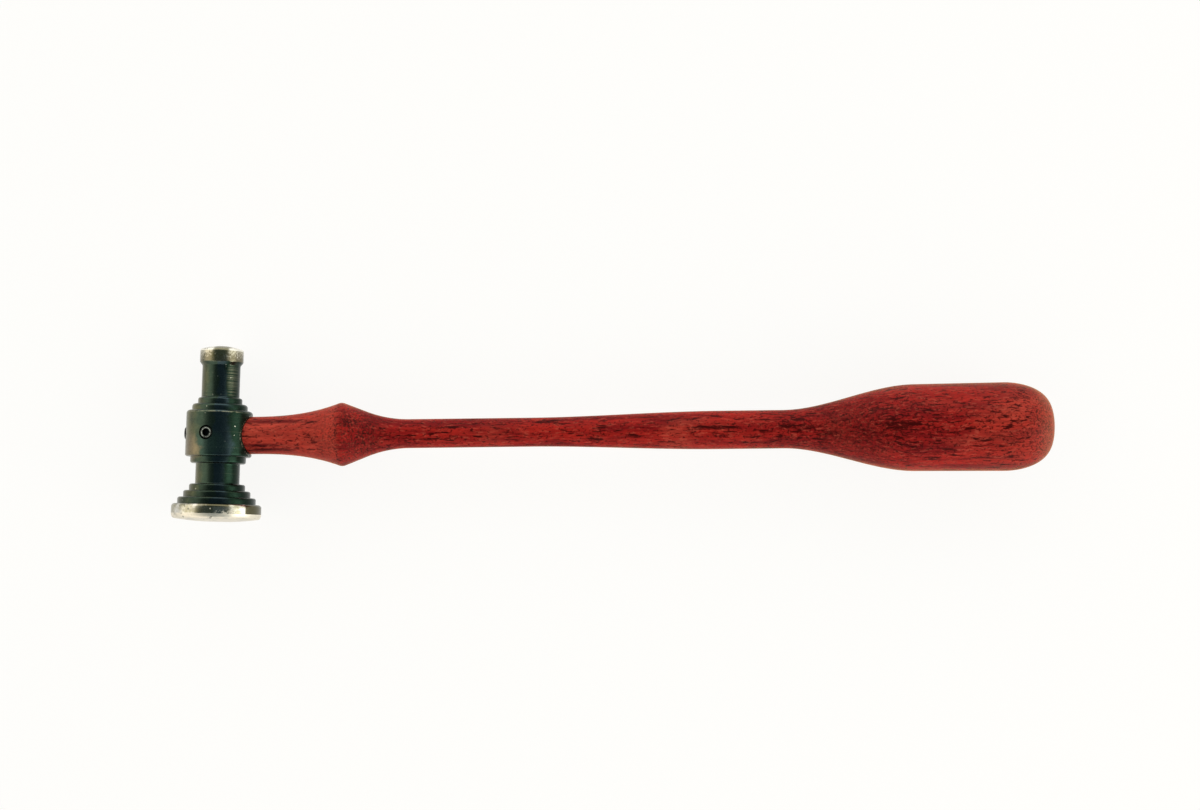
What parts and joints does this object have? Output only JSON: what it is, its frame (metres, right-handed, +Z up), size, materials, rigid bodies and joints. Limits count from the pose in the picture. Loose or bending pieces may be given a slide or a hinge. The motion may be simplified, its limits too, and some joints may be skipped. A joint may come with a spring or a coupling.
{
  "type": "engraving hammer",
  "caption": "Small turned steel hammer head with a crowned striking face and a slim peen, set-screwed to a slender turned wooden handle with a palm swell.",
  "frame": {"origin": "under the middle of the whole hammer, on the surface that it lies on", "axes": "+X along the handle from the head to the butt, +Y toward the peen, +Z up from the surface"},
  "size_m": [0.2521, 0.0508, 0.0255],
  "materials": {
    "blackened_steel": "turned and blackened, satin, with the striking face and the peen polished bright",
    "padauk": "deep red hardwood, turned, fine sanded and oiled to a low sheen",
    "screw_steel": "black-oxide screw steel, worn bright at the rim"
  },
  "bodies": {
    "root": {"head": "blackened_steel", "handle": "padauk", "set_screw_front": "screw_steel", "set_screw_end": "screw_steel"}
  },
  "joints": []
}
